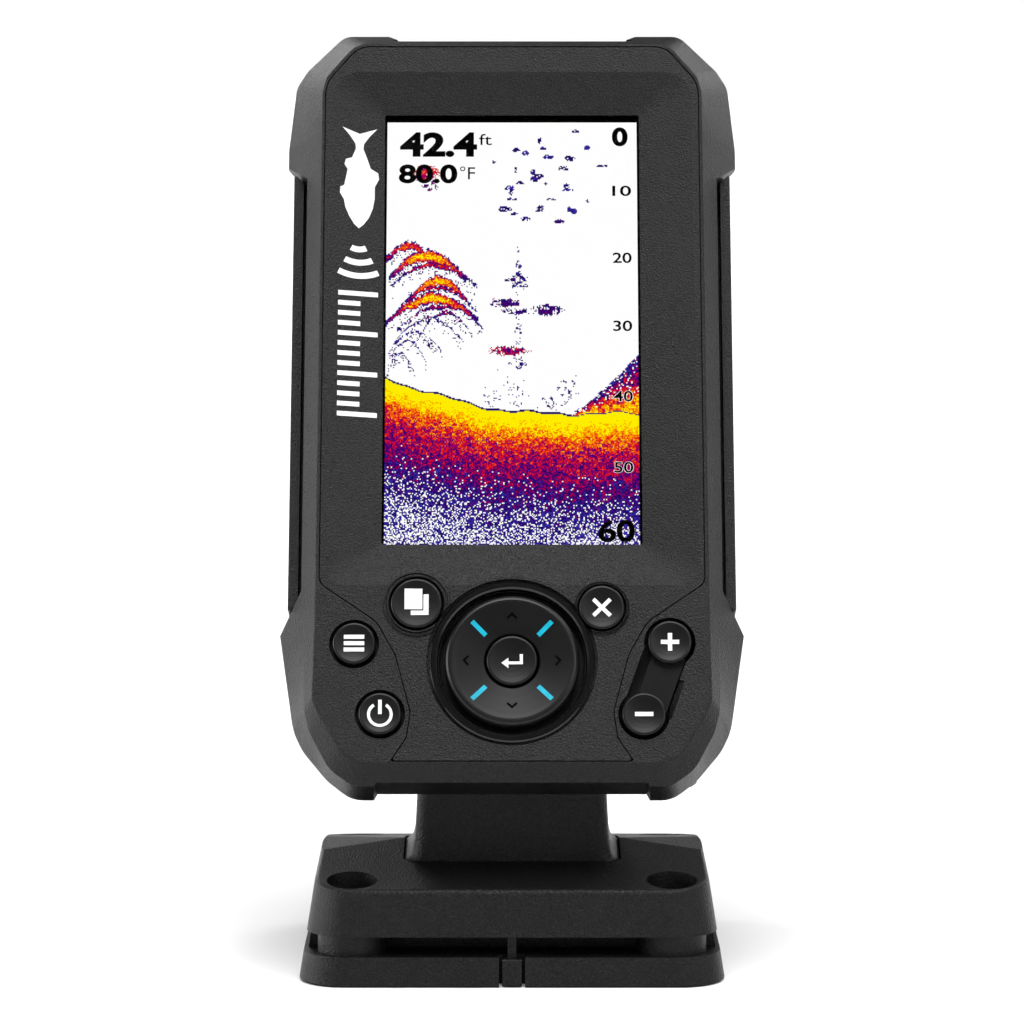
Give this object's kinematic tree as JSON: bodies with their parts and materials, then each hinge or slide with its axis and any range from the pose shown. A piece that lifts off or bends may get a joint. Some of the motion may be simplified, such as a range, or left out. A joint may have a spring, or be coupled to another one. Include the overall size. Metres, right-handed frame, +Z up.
{
  "type": "fish finder",
  "caption": "Portrait fish finder with a colour sonar display, keypad and direction pad, on a tilting neck above a screw-down base.",
  "frame": {"origin": "centre of the base's underside, on the surface it is screwed to", "axes": "+Z up away from the mounting surface, the screen faces -Y, +X to the viewer's right"},
  "size_m": [0.0978, 0.0851, 0.1959],
  "materials": {
    "frame_plastic": "fine moulded texture",
    "housing_plastic": "fine moulded texture",
    "bracket_plastic": "moulded texture",
    "key_plastic": "smooth satin",
    "trim_plastic": "satin",
    "light_guide": "translucent satin",
    "screen_glass": "polished",
    "screen_image": "lit display",
    "ink_white": "printed",
    "sheet_steel": "bright pressed",
    "silicone": "matte",
    "circuit_board": "solder mask",
    "chip_resin": "matte",
    "flex_film": "film",
    "aluminium_sheet": "mill",
    "ceramic": "fired",
    "screw_steel": "passivated",
    "pin_steel": "turned",
    "contact_gold": "plated",
    "socket_plastic": "satin",
    "label_film": "satin film",
    "bush_plastic": "natural acetal",
    "knob_plastic": "moulded"
  },
  "bodies": {
    "bracket": {"mounting_plate": "bracket_plastic", "base_cover": "bracket_plastic", "latch_tab": "bracket_plastic", "bracket_arm": "bracket_plastic", "hinge_bushes": "bush_plastic", "friction_discs": "silicone", "arm_screws": "screw_steel"},
    "display": {"front_frame": "frame_plastic", "face_plate": "frame_plastic", "pad_trim_ring": "trim_plastic", "lens": "screen_glass", "lens_tape": "silicone", "lcd_panel": "screen_image", "lcd_tray": "sheet_steel", "lcd_flex": "flex_film", "keypad_membrane": "silicone", "key_board": "circuit_board", "dome_switches": "sheet_steel", "main_board": "circuit_board", "board_pillars": "pin_steel", "board_chips": "chip_resin", "shield_can": "sheet_steel", "heat_spreader": "aluminium_sheet", "gps_antenna": "ceramic", "buzzer": "chip_resin", "board_connectors": "bush_plastic", "rear_housing": "housing_plastic", "housing_seal": "silicone", "case_screws": "screw_steel", "power_socket": "socket_plastic", "transducer_socket": "socket_plastic", "power_pins": "contact_gold", "transducer_pins": "contact_gold", "vent_plug": "socket_plastic", "rating_label": "label_film", "tilt_cradle": "bracket_plastic", "cradle_screws": "screw_steel", "tilt_pin": "pin_steel"},
    "pages": {"pages_key": "key_plastic"},
    "exit": {"exit_key": "key_plastic"},
    "menu": {"menu_key": "key_plastic"},
    "power": {"power_key": "key_plastic"},
    "enter": {"enter_key": "key_plastic"},
    "zoom": {"zoom_rocker": "key_plastic"},
    "pad_carrier": {"pad_plate": "key_plastic"},
    "pad": {"direction_pad": "key_plastic", "pad_light_bars": "light_guide"},
    "washer": {"clamp_washer": "pin_steel"},
    "knob": {"tilt_knob": "knob_plastic", "knob_insert": "contact_gold"}
  },
  "joints": [
    {"name": "tilt", "type": "hinge", "parent": "bracket", "child": "display", "pos_m": [0, 0.008, 0.046], "axis": [1, 0, 0], "range_deg": [-45, 12]},
    {"name": "pages_press", "type": "slide", "parent": "display", "child": "pages", "axis": [0, 0.9245, -0.3811], "range_m": [0, 0.001], "stiffness_N_per_m": 1500, "springref_m": -0.0008},
    {"name": "exit_press", "type": "slide", "parent": "display", "child": "exit", "axis": [0, 0.9245, -0.3811], "range_m": [0, 0.001], "stiffness_N_per_m": 1500, "springref_m": -0.0008},
    {"name": "menu_press", "type": "slide", "parent": "display", "child": "menu", "axis": [0, 0.9245, -0.3811], "range_m": [0, 0.001], "stiffness_N_per_m": 1500, "springref_m": -0.0008},
    {"name": "power_press", "type": "slide", "parent": "display", "child": "power", "axis": [0, 0.9245, -0.3811], "range_m": [0, 0.001], "stiffness_N_per_m": 1500, "springref_m": -0.0008},
    {"name": "enter_press", "type": "slide", "parent": "display", "child": "enter", "axis": [0, 0.9245, -0.3811], "range_m": [0, 0.001], "stiffness_N_per_m": 1500, "springref_m": -0.0008},
    {"name": "zoom_rock", "type": "hinge", "parent": "display", "child": "zoom", "pos_m": [0.03005, -0.02451, 0.06237], "axis": [0.9417, -0.1282, -0.311], "range_deg": [-4, 4], "stiffness_Nm_per_rad": 0.3},
    {"name": "pad_rock_up_down", "type": "hinge", "parent": "display", "child": "pad_carrier", "pos_m": [0, -0.02249, 0.06543], "axis": [1, 0, 0], "range_deg": [-2.5, 2.5], "stiffness_Nm_per_rad": 0.6},
    {"name": "pad_rock_left_right", "type": "hinge", "parent": "pad_carrier", "child": "pad", "pos_m": [0, -0.02249, 0.06543], "axis": [0, 0.3811, 0.9245], "range_deg": [-2.5, 2.5], "stiffness_Nm_per_rad": 0.6},
    {"name": "clamp_advance", "type": "slide", "parent": "display", "child": "washer", "axis": [1, 0, 0], "range_m": [0, 0.00102]},
    {"name": "knob_turn", "type": "hinge", "parent": "washer", "child": "knob", "pos_m": [0, 0.008, 0.046], "axis": [1, 0, 0], "range_deg": [0, 360]}
  ],
  "couplings": [
    {"joint": "clamp_advance", "follows": "knob_turn", "m_per_rad": 0.000159}
  ]
}
